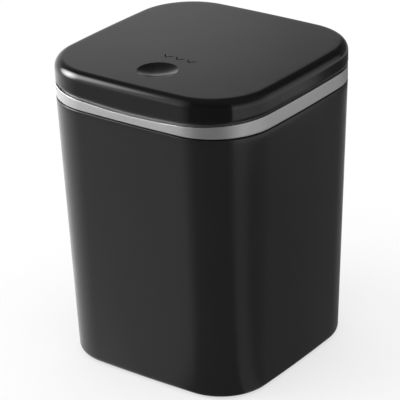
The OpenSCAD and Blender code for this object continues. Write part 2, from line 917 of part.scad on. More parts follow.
// Cam follower: a bent wire that swings in the wall of the housing and runs in the slider's track

follower_rise = 8.4;
follower_tip = 0.8;
follower_bend = 0.5;
wire_sides = 8;

module cam_follower() {
    bend = follower_bend;
    path = concat(
        [[0, latch_in_d / 2 + latch_wall - follower_v, 0]],
        [for (a = [0 : 30 : 90]) [0, bend * (1 - sin(a)), bend * (1 - cos(a))]],
        [for (a = [0 : 30 : 90]) [0, bend * (cos(a) - 1), follower_rise - bend * (1 - sin(a))]],
        [[0, -follower_tip, follower_rise]]
    );
    color("#c4c6c8")
        translate([0, latch_y + follower_v, follower_z])
            tube(path, follower_r, wire_sides);
}

echo(torsion_gap = least_gap(torsion_path, torsion_wire_r));
echo(latch_spring_gap = least_gap(latch_spring_path, latch_wire_r));

bucket();
base_pad();
collar_ring();
collar_frame();
hinge_pin();
hinge_spring_left();
hinge_spring_right();
lid_cover();
lid_liner();
lid_screws();
striker();
striker_screws();
latch_housing();
latch_screws();
latch_slider();
latch_jaw_left();
latch_jaw_right();
jaw_pins();
latch_spring();
cam_follower();
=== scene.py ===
import math

import bmesh
import bpy
import numpy as np
from mathutils import Matrix, Vector


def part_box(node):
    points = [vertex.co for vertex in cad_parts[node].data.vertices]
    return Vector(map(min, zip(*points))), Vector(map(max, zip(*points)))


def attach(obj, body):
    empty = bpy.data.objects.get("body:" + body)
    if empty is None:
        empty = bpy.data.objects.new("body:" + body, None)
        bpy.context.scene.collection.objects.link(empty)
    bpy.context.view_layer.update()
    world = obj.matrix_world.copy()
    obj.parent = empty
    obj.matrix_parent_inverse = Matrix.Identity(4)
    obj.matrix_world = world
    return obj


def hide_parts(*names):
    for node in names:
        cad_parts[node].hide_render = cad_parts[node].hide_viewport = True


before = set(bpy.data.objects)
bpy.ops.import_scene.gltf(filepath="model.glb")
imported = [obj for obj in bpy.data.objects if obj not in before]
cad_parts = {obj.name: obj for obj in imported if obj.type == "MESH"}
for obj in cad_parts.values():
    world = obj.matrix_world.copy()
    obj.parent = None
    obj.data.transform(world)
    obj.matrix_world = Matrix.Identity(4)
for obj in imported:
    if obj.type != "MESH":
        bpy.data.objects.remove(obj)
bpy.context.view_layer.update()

# Bucket
# One injection moulding in black polypropylene: four walls that lean in towards the foot, a floor,
# and a rounded rim. Its underside has a shallow recess for the pad. The outside has a satin polish.

bucket_low, bucket_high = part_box("bucket")
half_width = bucket_high.x
foot_z = bucket_low.z
rim_z = bucket_high.z
corner_radius = 0.039
side_radius = 1.16
side_lean = 0.006
bucket_wall = 0.0022
floor_thickness = 0.0026
foot_radius = 0.004
floor_fillet = 0.007
rim_round = 0.0006
pad_low, pad_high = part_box("base_pad")
pad_half = pad_high.x
pad_corner = 0.014
recess_fit = 0.0001
recess_edge = 0.0001


def plan(half, corner, side, stops=(), per_side=28, per_corner=36):
    """Points round a square with bowed sides and round corners, and the outward normals there.

    A side is an arc of radius side that passes half from the middle, so its centre is at
    s = half - side. A corner is an arc of radius corner about (c, c) that touches two sides:
    (c - s)^2 + c^2 = (side - corner)^2. stops are distances along a side that get a pair of
    points 0.02 mm apart, where a piece has a step.
    """
    s = half - side
    c = (s + math.sqrt(2 * (side - corner) ** 2 - s * s)) / 2
    meet = math.atan2(c, c - s)
    pairs = [math.asin((sign * x + shift) / side)
             for x in stops for sign in (-1, 1) for shift in (-1e-5, 1e-5)]
    along = np.sort(np.concatenate([np.linspace(-meet, meet, per_side, endpoint=False), pairs]))
    around = np.linspace(meet, math.pi / 2 - meet, per_corner, endpoint=False)
    angle = np.concatenate([along, around])
    normal = np.stack([np.cos(angle), np.sin(angle)], axis=1)
    is_side = (np.arange(len(angle)) < len(along))[:, None]
    point = np.where(is_side, [s, 0.0], [c, c]) + np.where(is_side, side, corner) * normal
    quarter = np.array([[0.0, 1.0], [-1.0, 0.0]])
    turns = [np.linalg.matrix_power(quarter, k) for k in range(4)]
    return np.concatenate([point @ t for t in turns]), np.concatenate([normal @ t for t in turns])


def arc(inset, z, radius_in, radius_z, start, end, steps):
    """Profile points on an ellipse: inset + radius_in * cos a, and z + radius_z * sin a.

    The angle a goes from start to end in degrees.
    """
    a = np.radians(np.linspace(start, end, steps + 1))
    return np.stack([inset + radius_in * np.cos(a), z + radius_z * np.sin(a)], axis=1)


def line(start, end, steps):
    """Profile points between two points, without the two points themselves."""
    t = np.linspace(0, 1, steps + 1)[1:-1, None]
    return np.asarray(start) * (1 - t) + np.asarray(end) * t


def sweep(outline, profile):
    """A grid of places, one row to each profile point: outline point - inset * normal, at z."""
    point, normal = outline
    flat = point[None] - profile[:, 0, None, None] * normal[None]
    height = np.broadcast_to(profile[:, 1, None, None], flat.shape[:2] + (1,))
    return np.concatenate([flat, height], axis=2)


def mesh_piece(name, vertices, faces, material, body, sharp=35):
    """A mesh object with outward faces, smooth but for edges sharper than that many degrees."""
    mesh = bpy.data.meshes.new(name)
    mesh.from_pydata(np.asarray(vertices).reshape(-1, 3), [], faces)
    work = bmesh.new()
    work.from_mesh(mesh)
    bmesh.ops.remove_doubles(work, verts=work.verts, dist=1e-7)
    bmesh.ops.recalc_face_normals(work, faces=work.faces)
    work.to_mesh(mesh)
    work.free()
    mesh.shade_smooth()
    mesh.set_sharp_from_angle(angle=math.radians(sharp))
    mesh.materials.append(material)
    piece = bpy.data.objects.new(name, mesh)
    bpy.context.scene.collection.objects.link(piece)
    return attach(piece, body)


def wrap(grid, closed):
    """Vertices and faces over a grid whose rows close on themselves.

    The last row joins the first where closed is true, or else each end row is filled by a fan to
    its own middle.
    """
    rows, columns = grid.shape[:2]
    index = np.arange(rows * columns).reshape(rows, columns)
    ring = np.concatenate([index, index[:1]]) if closed else index
    near, far = ring[:-1], ring[1:]
    quads = np.stack([near, far, np.roll(far, -1, 1), np.roll(near, -1, 1)], axis=-1)
    vertices = grid.reshape(-1, 3)
    faces = quads.reshape(-1, 4).tolist()
    if not closed:
        middles = grid[[0, -1]].mean(axis=1)
        for k, row in enumerate((index[0], index[-1])):
            hub = np.full(columns, len(vertices) + k)
            faces += np.stack([hub, row, np.roll(row, -1)], axis=1).tolist()
        vertices = np.concatenate([vertices, middles])
    return vertices, faces


def linear(code):
    """A colour for a shader socket, from an sRGB hex code.

    Each part v from 0 to 1 becomes ((v + 0.055) / 1.055) ^ 2.4, or v / 12.92 up to 0.04045.
    """
    part = [int(code[i:i + 2], 16) / 255 for i in (1, 3, 5)]
    return [v / 12.92 if v <= 0.04045 else ((v + 0.055) / 1.055) ** 2.4 for v in part] + [1.0]


def add(tree, kind, links=None, **settings):
    """Adds a shader node, sets its properties, and sets or links its inputs by name or number."""
    made = tree.nodes.new("ShaderNode" + kind)
    for key, value in settings.items():
        setattr(made, key, value)
    for key, value in (links or {}).items():
        if isinstance(value, bpy.types.NodeSocket):
            tree.links.new(value, made.inputs[key])
        else:
            made.inputs[key].default_value = value
    return made


def new_material(name, **values):
    """A material with one Principled shader, whose sockets take the given plain values."""
    material = bpy.data.materials.new(name)
    material.use_nodes = True
    tree = material.node_tree
    tree.nodes.clear()
    shader = add(tree, "BsdfPrincipled", {k.replace("_", " "): v for k, v in values.items()})
    add(tree, "OutputMaterial", {"Surface": shader.outputs[0]})
    return material, tree, shader


def noise(tree, size, detail=2.0, stretch=(1, 1, 1)):
    """Noise whose lumps are about size metres across, stretched by a factor along each axis."""
    place = add(tree, "TexCoord").outputs["Object"]
    scale = add(tree, "Mapping", {"Vector": place, "Scale": [1 / (size * s) for s in stretch]})
    links = {"Vector": scale.outputs[0], "Scale": 1.0, "Detail": detail}
    return add(tree, "TexNoise", links).outputs["Fac"]


def spread(tree, value, low, high, start=0.35, end=0.65):
    """Maps a noise value from between start and end to between low and high."""
    limits = {"Value": value, "From Min": start, "From Max": end, "To Min": low, "To Max": high}
    return add(tree, "MapRange", limits).outputs[0]


def tint(tree, value, first, second):
    """A colour between two hex colours, by a value from 0 to 1."""
    mix = add(tree, "Mix", {"Factor": value}, data_type="RGBA")
    mix.inputs[6].default_value = linear(first)
    mix.inputs[7].default_value = linear(second)
    return mix.outputs[2]


def bump(tree, height, depth, normal=None):
    """Surface relief of that depth in metres from a height value of 0 to 1."""
    links = {"Height": height, "Distance": depth, "Strength": 1.0}
    if normal is not None:
        links["Normal"] = normal
    return add(tree, "Bump", links).outputs[0]


def satin_pp():
    """Black polypropylene from a polished mould: a very fine orange peel over slow sink marks."""
    material, tree, shader = new_material("satin black polypropylene", IOR=1.5)
    tree.links.new(tint(tree, noise(tree, 0.05), "#151515", "#191919"), shader.inputs["Base Color"])
    tree.links.new(spread(tree, noise(tree, 0.018, 4), 0.2, 0.27), shader.inputs["Roughness"])
    sink = bump(tree, noise(tree, 0.045, 0), 0.00006)
    peel = bump(tree, noise(tree, 0.0011, 1), 0.0000014, sink)
    tree.links.new(peel, shader.inputs["Normal"])
    return material


def lean(z):
    """How far the bucket's outer wall stands in from the rim at height z."""
    return side_lean * (rim_z - z) / (rim_z - foot_z)


bin_plan = plan(half_width, corner_radius, side_radius)
recess_plan = plan(pad_half + recess_fit, pad_corner + recess_fit, side_radius)
recess_top = pad_high.z
inside_z = foot_z + floor_thickness
foot_in = lean(foot_z) + foot_radius
fillet_in = lean(inside_z + floor_fillet) + bucket_wall + floor_fillet
wall_top = [0.0, rim_z - rim_round]
wall_foot = [lean(foot_z), foot_z + foot_radius]
inner_top = [bucket_wall, rim_z - rim_round / 2]
inner_foot = [fillet_in - floor_fillet, inside_z + floor_fillet]
recess_grid = sweep(recess_plan, np.array([
    [0, recess_top], [0, foot_z + recess_edge], [-recess_edge, foot_z],
]))
wall_grid = sweep(bin_plan, np.concatenate([
    arc(foot_in, foot_z + foot_radius, foot_radius, foot_radius, 270, 180, 12),
    line(wall_foot, wall_top, 48),
    arc(rim_round, rim_z - rim_round, rim_round, rim_round, 180, 90, 5),
    arc(bucket_wall - rim_round / 2, rim_z - rim_round / 2, rim_round / 2, rim_round / 2, 90, 0, 4),
    line(inner_top, inner_foot, 40),
    arc(fillet_in, inside_z + floor_fillet, floor_fillet, floor_fillet, 180, 270, 12),
]))
share = np.linspace(0, 1, 8)[1:-1, None, None]
underside = recess_grid[-1] * (1 - share) + wall_grid[0] * share
bucket = mesh_piece(
    "bucket_moulding",
    *wrap(np.concatenate([recess_grid, underside, wall_grid]), False),
    satin_pp(),
    "bucket",
)
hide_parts("bucket")

# Base pad
# A sheet of grey-black foam rubber glued into the recess, with pressed grooves that grip the
# counter. It stands 0.4 mm proud, so the bin rests on it alone.

groove_pitch = 0.0065
groove_width = 0.0016
groove_depth = 0.0003
pad_edge = 0.0002
pad_rows = 420
pad_hub = 0.02


def foam_rubber():
    """Fine-cell foam rubber: matt grey-black with a dusty bloom, and cells 0.4 mm across."""
    material, tree, shader = new_material("non-slip foam rubber", IOR=1.5)
    bloom = spread(tree, noise(tree, 0.012, 5), 0.0, 1.0)
    tree.links.new(tint(tree, bloom, "#1c1c1c", "#2a2a29"), shader.inputs["Base Color"])
    tree.links.new(spread(tree, noise(tree, 0.004, 3), 0.7, 0.9), shader.inputs["Roughness"])
    tree.links.new(bump(tree, noise(tree, 0.0004, 2), 0.00004), shader.inputs["Normal"])
    return material


def grooved(distance):
    """Height of the pad's face: 0, with a round groove of groove_depth at every pitch."""
    place = np.abs((distance % groove_pitch) - groove_pitch / 2)
    return groove_depth * np.clip(1 - (place / (groove_width / 2)) ** 2, 0, 1) ** 0.5


pad_plan = plan(pad_half, pad_corner, side_radius, per_side=12, per_corner=24)
pad_side = sweep(pad_plan, np.concatenate([
    [[0.0, pad_high.z]],
    arc(pad_edge, pad_low.z + pad_edge, pad_edge, pad_edge, 180, 270, 4),
]))
shrink = np.linspace(1, pad_hub, pad_rows)[1:]
pad_height = (pad_low.z + grooved(pad_half * (1 - shrink)))[:, None, None]
pad_face = np.concatenate([
    shrink[:, None, None] * pad_side[-1, :, :2],
    np.broadcast_to(pad_height, (len(shrink), pad_side.shape[1], 1)),
], axis=2)
pad_grid = np.concatenate([pad_side, pad_face])
pad = mesh_piece("rubber_pad", *wrap(pad_grid, False), foam_rubber(), "bucket")
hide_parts("base_pad")

# Trim ring
# A loose band of ABS sprayed in silver, clipped round the collar. Its top edge dips across the
# front, and a notch at the back lets the hinge through. Its top face and the inner lip, which show
# in the gap under the lid, take a darker copy of the silver: painted shade of that gap.

ring_low, ring_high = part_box("collar_ring")
ring_thickness = 0.002
ring_round = 0.0004
ring_top_round = 0.00022
inner_lip_height = 0.0012
inner_lip_thickness = 0.00035
# Painted shade: the darker silver starts this far in on the ring's top face, and its skin stands
# this far off it.
shaded_silver_in = 0.00022
shade_skin = 0.00002
front_drop = 0.004
dip_span = 66
notch_half = 0.0283
notch_z = ring_low.z + 0.0025


def silver_paint(name, low_tone, high_tone):
    """Silver lacquer over plastic: metal flakes about 0.1 mm across under a thin clear coat."""
    material, tree, shader = new_material(
        name, Metallic=0.88, IOR=1.5, Coat_Weight=0.25, Coat_Roughness=0.12,
    )
    flakes = spread(tree, noise(tree, 0.00012, 1), 0.0, 1.0, 0.25, 0.75)
    tree.links.new(tint(tree, flakes, low_tone, high_tone), shader.inputs["Base Color"])
    tree.links.new(spread(tree, noise(tree, 0.009, 4), 0.42, 0.5), shader.inputs["Roughness"])
    tree.links.new(bump(tree, noise(tree, 0.03, 0), 0.00004), shader.inputs["Normal"])
    return material


def dip(x, y):
    """Share of the dip at a place: (1 + cos(180 * turn / dip_span)) / 2.

    turn is the place's angle round the middle from the front, in degrees.
    """
    turn = np.degrees(np.arctan2(np.abs(x), -y))
    return np.where(turn < dip_span, (1 + np.cos(np.pi * turn / dip_span)) / 2, 0)


def lowered(grid, drops):
    """A grid with each row lowered by its drop times the dip."""
    result = grid.copy()
    result[..., 2] -= np.asarray(drops)[:, None] * dip(grid[..., 0], grid[..., 1])
    return result


ring_foot = arc(ring_round, ring_low.z + ring_round, ring_round, ring_round, 270, 180, 6)
ring_head = arc(
    ring_top_round, ring_high.z - ring_top_round, ring_top_round, ring_top_round, 180, 90, 6,
)
ring_face = line(ring_foot[-1], ring_head[0], 8)
ring_back = np.array([[ring_thickness, ring_high.z], [ring_thickness, ring_low.z]])
ring_drops = front_drop * np.concatenate([
    np.zeros(len(ring_foot)),
    np.linspace(0, 1, len(ring_face) + 2)[1:-1],
    np.ones(len(ring_head)),
    [1, 0],
])
lip_in = ring_thickness + inner_lip_thickness
lip_profile = np.array([
    [shaded_silver_in, ring_high.z - shade_skin],
    [shaded_silver_in, ring_high.z + shade_skin],
    [ring_thickness, ring_high.z + shade_skin],
    [ring_thickness, ring_high.z + inner_lip_height],
    [lip_in, ring_high.z + inner_lip_height],
    [lip_in, ring_high.z + inner_lip_thickness],
    [ring_thickness, ring_high.z - shade_skin],
])
ring_profile = np.concatenate([ring_foot, ring_face, ring_head, ring_back])
notched_plan = plan(half_width, corner_radius, side_radius, stops=(notch_half,))
ring_silver = silver_paint("silver lacquer on ABS", "#b9b9b9", "#cdcdcd")
# A darker copy of the silver lacquer: painted shade for the ring's top face and inner lip in the
# gap under the lid.
gap_shade_silver = silver_paint("silver lacquer with painted gap shade", "#848484", "#979797")
ring_parts = {
    "silver_ring": (ring_profile, ring_drops, ring_silver),
    "silver_inner_lip": (lip_profile, np.full(len(lip_profile), front_drop), gap_shade_silver),
}
for name, (profile, drops, material) in ring_parts.items():
    grid = lowered(sweep(notched_plan, profile), drops)
    at_notch = (np.abs(grid[..., 0]) < notch_half) & (grid[..., 1] > 0)
    grid[..., 2] = np.where(at_notch, np.minimum(grid[..., 2], notch_z), grid[..., 2])
    piece = mesh_piece(name, *wrap(grid, True), material, "collar")
    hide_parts("collar_ring")

# Collar frame
# The inner frame of the collar, in matt black polypropylene: a skirt that drops into the bucket, a
# flange that rests on the rim and shows as the dark line under the ring, and an upstand inside the
# lid. It carries a pad for the latch at the front, and three hinge knuckles at the back.

frame_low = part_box("collar_frame")[0]
frame_wall = 0.0018
gap_depth = 0.0018
skirt_gap = 0.0005
upstand_step = 0.0004
upstand_height = 0.002
upstand_round = 0.0004
knuckle_radius = 0.0034
knuckle_length = 0.006
middle_knuckle = 0.008
knuckle_gap = 0.0004
knuckle_bevel = 0.00025
pin_radius = 0.00125
pin_fit = 0.00005
hinge_half = 0.028
hinge_clear = 0.0003
block_bevel = 0.0003
pin_low, pin_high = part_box("hinge_pin")
hinge_z = (pin_low.z + pin_high.z) / 2
hinge_y = (pin_low.y + pin_high.y) / 2
latch_low, latch_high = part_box("latch_housing")


def matt_plastic(name, smooth, rough):
    """Black plastic from a spark-eroded mould: an even matt grain 0.3 mm across."""
    material, tree, shader = new_material(name, IOR=1.49)
    tree.links.new(tint(tree, noise(tree, 0.03), "#121212", "#171717"), shader.inputs["Base Color"])
    tree.links.new(spread(tree, noise(tree, 0.006, 3), smooth, rough), shader.inputs["Roughness"])
    tree.links.new(bump(tree, noise(tree, 0.0003, 2), 0.00002), shader.inputs["Normal"])
    return material


def polyline(points, steps):
    """Profile points along straight runs between the given points, steps to each run."""
    points = np.asarray(points, dtype=float)
    runs = [np.concatenate([[a], line(a, b, steps)]) for a, b in zip(points[:-1], points[1:])]
    return np.concatenate(runs + [points[-1:]])


def block(name, low, high, bevel, material, body):
    """A box between two corners, with its edges rounded off by bevel."""
    work = bmesh.new()
    middle, size = (Vector(low) + Vector(high)) / 2, Vector(high) - Vector(low)
    fitted = Matrix.Translation(middle) @ Matrix.Diagonal((*size, 1))
    bmesh.ops.create_cube(work, size=1, matrix=fitted)
    bmesh.ops.bevel(work, geom=work.edges[:], offset=bevel, segments=3, profile=0.5, affect="EDGES")
    vertices = [v.co[:] for v in work.verts]
    faces = [[v.index for v in f.verts] for f in work.faces]
    work.free()
    return mesh_piece(name, vertices, faces, material, body)


def reach(angle, outline):
    """Distance from the origin to an outline of straight edges, in each direction.

    A point at t * (cos angle, sin angle) is on the edge from a to a + e where
    t = (a x e) / (d x e), and it is within the edge where 0 <= (a x d) / (d x e) <= 1.
    The result is the largest such t, or 0 where a direction meets no edge.
    """
    def cross(p, q):
        return p[..., 0] * q[..., 1] - p[..., 1] * q[..., 0]

    start = np.asarray(outline, dtype=float)[None]
    edge = np.roll(start, -1, axis=1) - start
    way = np.stack([np.cos(angle), np.sin(angle)], axis=-1)[:, None]
    turn = cross(way, edge)
    turn = np.where(np.abs(turn) < 1e-12, 1e-12, turn)
    t = cross(start, edge) / turn
    share = cross(start, way) / turn
    return np.max(np.where((share >= -1e-9) & (share <= 1 + 1e-9), t, 0), axis=1)


def knuckle(name, x0, x1, arm, bore, material, body):
    """A hinge knuckle from x0 to x1, with a bore for the pin. Its arm is an outline of [y, z].

    Each end face runs from the bore out to the larger of the knuckle's radius and the arm's reach.
    """
    corners = np.asarray(arm) - [hinge_y, hinge_z]
    even = np.linspace(-math.pi, math.pi, 144, endpoint=False)
    angle = np.sort(np.concatenate([even, np.arctan2(corners[:, 1], corners[:, 0])]))
    outer = np.maximum(knuckle_radius, reach(angle, corners))
    rows = [
        (bore, x0), (outer - knuckle_bevel, x0), (outer, x0 + knuckle_bevel),
        (outer, x1 - knuckle_bevel), (outer - knuckle_bevel, x1), (bore, x1),
    ]
    y, z = np.cos(angle), np.sin(angle)
    grid = np.stack([
        np.stack([np.full_like(angle, x), hinge_y + r * y, hinge_z + r * z], axis=-1)
        for r, x in rows
    ])
    return mesh_piece(name, *wrap(grid, True), material, body)


frame_material = matt_plastic("matt black polypropylene", 0.42, 0.55)
skirt_in = bucket_wall + skirt_gap
skirt_low_in = skirt_in + lean(frame_low.z)
upstand_in = ring_thickness + upstand_step
upstand_inner = upstand_in + frame_wall
upstand_z = ring_high.z + upstand_height
ledge_z = ring_high.z - front_drop
round_z = upstand_z - upstand_round
frame_profile = np.concatenate([
    polyline([
        [skirt_low_in, frame_low.z],
        [skirt_in, rim_z],
        [gap_depth, rim_z],
        [gap_depth, ring_low.z],
        [ring_thickness, ring_low.z],
        [ring_thickness, ledge_z],
        [upstand_in, ledge_z + upstand_step],
    ], 6),
    arc(upstand_in + upstand_round, round_z, upstand_round, upstand_round, 180, 90, 5),
    arc(upstand_inner - upstand_round, round_z, upstand_round, upstand_round, 90, 0, 5),
    line([upstand_inner, round_z], [skirt_low_in + frame_wall, frame_low.z], 12),
    [[skirt_low_in + frame_wall, frame_low.z]],
])
frame_grid = sweep(bin_plan, frame_profile)
frame_shell = mesh_piece("frame_shell", *wrap(frame_grid, True), frame_material, "collar")
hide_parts("collar_frame")
latch_pad = block(
    "latch_mount",
    (latch_low.x, upstand_inner - half_width - frame_wall / 2, latch_low.z),
    (latch_high.x, latch_low.y, latch_high.z),
    block_bevel, frame_material, "collar",
)
arm_low_z = notch_z + hinge_clear
arm_high_z = ring_high.z - hinge_clear
arm_back_y = half_width - ring_thickness - frame_wall / 4
hinge_face_y = half_width - 2 * hinge_clear
hinge_block = block(
    "hinge_block",
    (-hinge_half, arm_back_y, arm_low_z),
    (hinge_half, hinge_face_y, arm_high_z),
    block_bevel, frame_material, "collar",
)
arm_under = math.radians(-50)
collar_arm = [
    [arm_back_y, arm_low_z],
    [half_width, arm_low_z],
    [
        hinge_y + knuckle_radius * math.cos(arm_under),
        hinge_z + knuckle_radius * math.sin(arm_under),
    ],
    [hinge_y, hinge_z],
    [arm_back_y, arm_high_z],
]
collar_knuckles = {
    "left": (-hinge_half, knuckle_length),
    "middle": (-middle_knuckle / 2, middle_knuckle),
    "right": (hinge_half - knuckle_length, knuckle_length),
}
for side_name, (start, length) in collar_knuckles.items():
    piece = knuckle("collar_knuckle_" + side_name, start, start + length, collar_arm,
                    pin_radius + pin_fit / 2, frame_material, "collar")

# Hinge pin and springs
# A drawn steel pin, pressed into the collar's knuckles. Two springs of hard wire are wound round
# it, and each has one straight end in the middle knuckle and one in the lid's.

torsion_radius = 0.0022
torsion_wire = 0.0004
torsion_turns = 5
spring_end_gap = 0.0004
tang_length = 0.0022
wire_bend = 5
weld_distance = 0.000002
flat_angle = math.radians(1)
edge_angle = math.radians(40)


def drawn_steel(name, tone_low, tone_high, stretch):
    """Bright steel wire: fine draw lines along the wire, and a thin film of oil."""
    material, tree, shader = new_material(name, Metallic=1.0)
    lines = noise(tree, 0.00015, 3, stretch)
    tree.links.new(tint(tree, lines, tone_low, tone_high), shader.inputs["Base Color"])
    tree.links.new(spread(tree, noise(tree, 0.002, 2), 0.22, 0.36), shader.inputs["Roughness"])
    tree.links.new(bump(tree, lines, 0.000004), shader.inputs["Normal"])
    return material


def rounded(path):
    """A path with its corners eased: a point becomes the mean of it and wire_bend either side."""
    window = np.ones(2 * wire_bend + 1) / (2 * wire_bend + 1)
    padded = np.pad(path, ((wire_bend, wire_bend), (0, 0)), mode="edge")
    eased = np.stack([np.convolve(padded[:, k], window, "valid") for k in range(3)], axis=1)
    eased[0], eased[-1] = path[0], path[-1]
    return eased


def wire(name, path, side, radius, material, body, sides=12):
    """A round wire along a path. side is a direction at each point that isn't along the wire."""
    way = np.gradient(path, axis=0)
    way /= np.linalg.norm(way, axis=1, keepdims=True)
    u = side - np.sum(side * way, axis=1, keepdims=True) * way
    u /= np.linalg.norm(u, axis=1, keepdims=True)
    v = np.cross(way, u)
    a = np.linspace(0, 2 * math.pi, sides, endpoint=False)[None, :, None]
    grid = path[:, None] + radius * (np.cos(a) * u[:, None] + np.sin(a) * v[:, None])
    return mesh_piece(name, *wrap(grid, False), material, body, sharp=60)


def helix(turns, start, end, radius, per_turn=48):
    """A coil's places along its axis, evenly from start to end, and across it.

    Those across are radius * (cos, sin) of 360 * turns * t degrees, with t from 0 to 1.
    """
    t = np.linspace(0, 1, int(turns * per_turn) + 1)
    a = 2 * math.pi * turns * t
    return start + (end - start) * t, radius * np.cos(a), radius * np.sin(a)


def dress(node_name, material, bevel=0.0):
    """Gives a CAD node its material, and eases its sharp edges by bevel metres."""
    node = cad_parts[node_name]
    node.data.materials.clear()
    node.data.materials.append(material)
    if bevel:
        weld = node.modifiers.new("weld", "WELD")
        weld.merge_threshold = weld_distance
        flatten = node.modifiers.new("flatten", "DECIMATE")
        flatten.decimate_type, flatten.angle_limit = "DISSOLVE", flat_angle
        ease = node.modifiers.new("ease", "BEVEL")
        ease.width, ease.segments, ease.limit_method = bevel, 2, "ANGLE"
        ease.angle_limit = edge_angle


pin_steel = drawn_steel("drawn steel pin", "#aeb1b3", "#cbcdcf", (40, 1, 1))
dress("hinge_pin", pin_steel)
spring_steel = drawn_steel("hard spring wire", "#7e8284", "#a2a5a7", (12, 1, 1))
lid_knuckle_x = hinge_half - 2 * knuckle_length - knuckle_gap
coil_from = middle_knuckle / 2 + torsion_wire + spring_end_gap
coil_to = lid_knuckle_x - torsion_wire - spring_end_gap
for mirror, side_name in ((1, "right"), (-1, "left")):
    along, up, out = helix(torsion_turns, coil_from, coil_to, torsion_radius)
    tang = np.linspace(0, tang_length + torsion_wire, 16)[1:, None]
    coil = np.stack([along, hinge_y - out, hinge_z + up], axis=1)
    path = np.concatenate([coil[0] - tang[::-1] * [1, 0, 0], coil, coil[-1] + tang * [1, 0, 0]])
    path = rounded(path)
    away = path - [0, hinge_y, hinge_z]
    away[:, 0] = 0
    spring = wire("torsion_spring_" + side_name, path * [mirror, 1, 1], away, torsion_wire,
                  spring_steel, "collar")
    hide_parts("hinge_spring_" + side_name)

# Lid cover
# One thick-walled moulding in high-gloss ABS: a skirt whose lip follows the dip of the ring, a
# round shoulder, and a flat top with a finger dimple and three arrows that point at it. The mould
# leaves the arrows sunk and matt.

lid_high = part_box("lid_cover")[1]
lid_over = lid_high.x - half_width
lid_wall = 0.0018
lip_z = 0.1831
lip_round = 0.0005
lip_curve_width = 0.0012
lip_curve_height = 0.002
lip_drop = 0.0032
shoulder_width = 0.0055
shoulder_height = 0.006
ceiling_z = 0.1925
ceiling_fillet = 0.0045
dimple_y = -0.0443
dimple_radius = 0.01225
dimple_depth = 0.0023
dimple_edge = 0.001
dimple_field = 0.014
rim_rings_from = 0.0131
rim_rings_to = 0.0117
rings_apart = 0.0001
dimple_hub = 0.0002
arrow_width = 0.006
arrow_pitch = 0.0085
arrow_stroke = 0.001
arrow_depth = 0.0004
arrow_from_dimple = 0.019
arrow_skin = 0.000004
arm_foot = 0.0006
arm_head = 0.007
arm_stand = 0.0016


def gloss_abs():
    """Black ABS from a polished mould: slow sink marks, faint wipe marks and specks of dust."""
    material, tree, shader = new_material("gloss black ABS", IOR=1.5)
    place = add(tree, "TexCoord").outputs["Object"]
    dust = add(tree, "TexVoronoi", {"Vector": place, "Scale": 260.0})
    speck = spread(tree, dust.outputs["Distance"], 0.5, 0.0, 0.02, 0.05)
    tree.links.new(tint(tree, speck, "#0b0b0b", "#282828"), shader.inputs["Base Color"])
    wipe = noise(tree, 0.006, 5, (6, 1, 6))
    tree.links.new(spread(tree, wipe, 0.07, 0.12), shader.inputs["Roughness"])
    tree.links.new(bump(tree, noise(tree, 0.035, 0), 0.00004), shader.inputs["Normal"])
    return material


def dish(r):
    """Depth of the dimple at distance r from its middle: part of a ball, with a rounded rim.

    The ball of radius R has its middle h above the top, where R - h = dimple_depth. A rim arc of
    radius e lies outside the ball, so its middle is at r = sqrt((R + e)^2 - (h + e)^2), and it
    meets the ball at R / (R + e) of that.
    """
    ball = (dimple_radius ** 2 + dimple_depth ** 2) / (2 * dimple_depth)
    above = ball - dimple_depth
    rim = math.sqrt((ball + dimple_edge) ** 2 - (above + dimple_edge) ** 2)
    meet = rim * ball / (ball + dimple_edge)
    in_ball = above - np.sqrt(np.maximum(ball ** 2 - r ** 2, 0))
    on_rim = np.sqrt(np.maximum(dimple_edge ** 2 - (rim - r) ** 2, 0)) - dimple_edge
    return np.where(r < meet, in_ball, np.where(r < rim, on_rim, 0))


def arrow_cutter(x, y, top):
    """A prism in the form of a V whose point is at (x, y), to be cut from the lid's top.

    Its arms go out by arrow_width / 2 to each side and back by as much, at 45 degrees.
    """
    half = arrow_width / 2
    stroke = arrow_stroke * math.sqrt(2)
    low = [(-half, half), (0, 0), (half, half)]
    outline = low + [(u, v + stroke) for u, v in reversed(low)]
    levels = (top - arrow_depth, top + arrow_depth)
    vertices = [(x + u, y + v, z) for z in levels for u, v in outline]
    count = len(outline)
    sides = [(k, (k + 1) % count, (k + 1) % count + count, k + count) for k in range(count)]
    return vertices, [tuple(range(count))[::-1], tuple(range(count, 2 * count))] + sides


def cut(piece, cutters):
    """Cuts solids, each a pair of vertices and faces, out of a piece, which stays smooth."""
    mesh = bpy.data.meshes.new("cutters")
    vertices, faces = [], []
    for more_vertices, more_faces in cutters:
        faces += [[len(vertices) + k for k in face] for face in more_faces]
        vertices += more_vertices
    mesh.from_pydata(vertices, [], faces)
    tool = bpy.data.objects.new("cutters", mesh)
    bpy.context.scene.collection.objects.link(tool)
    modifier = piece.modifiers.new("cut", "BOOLEAN")
    modifier.object, modifier.operation, modifier.solver = tool, "DIFFERENCE", "EXACT"
    graph = bpy.context.evaluated_depsgraph_get()
    result = bpy.data.meshes.new_from_object(piece.evaluated_get(graph))
    piece.modifiers.clear()
    piece.data = result
    bpy.data.objects.remove(tool)
    result.shade_smooth()
    result.set_sharp_from_angle(angle=math.radians(35))
    return piece


def finish_inside(piece, low, high, material):
    """Gives a second material to the faces whose middles lie between two corners of a box."""
    mesh = piece.data
    mesh.materials.append(material)
    middle = np.empty(3 * len(mesh.polygons))
    mesh.polygons.foreach_get("center", middle)
    middle = middle.reshape(-1, 3)
    inside = np.all((middle > low) & (middle < high), axis=1)
    mesh.polygons.foreach_set("material_index", inside.astype(np.int32))


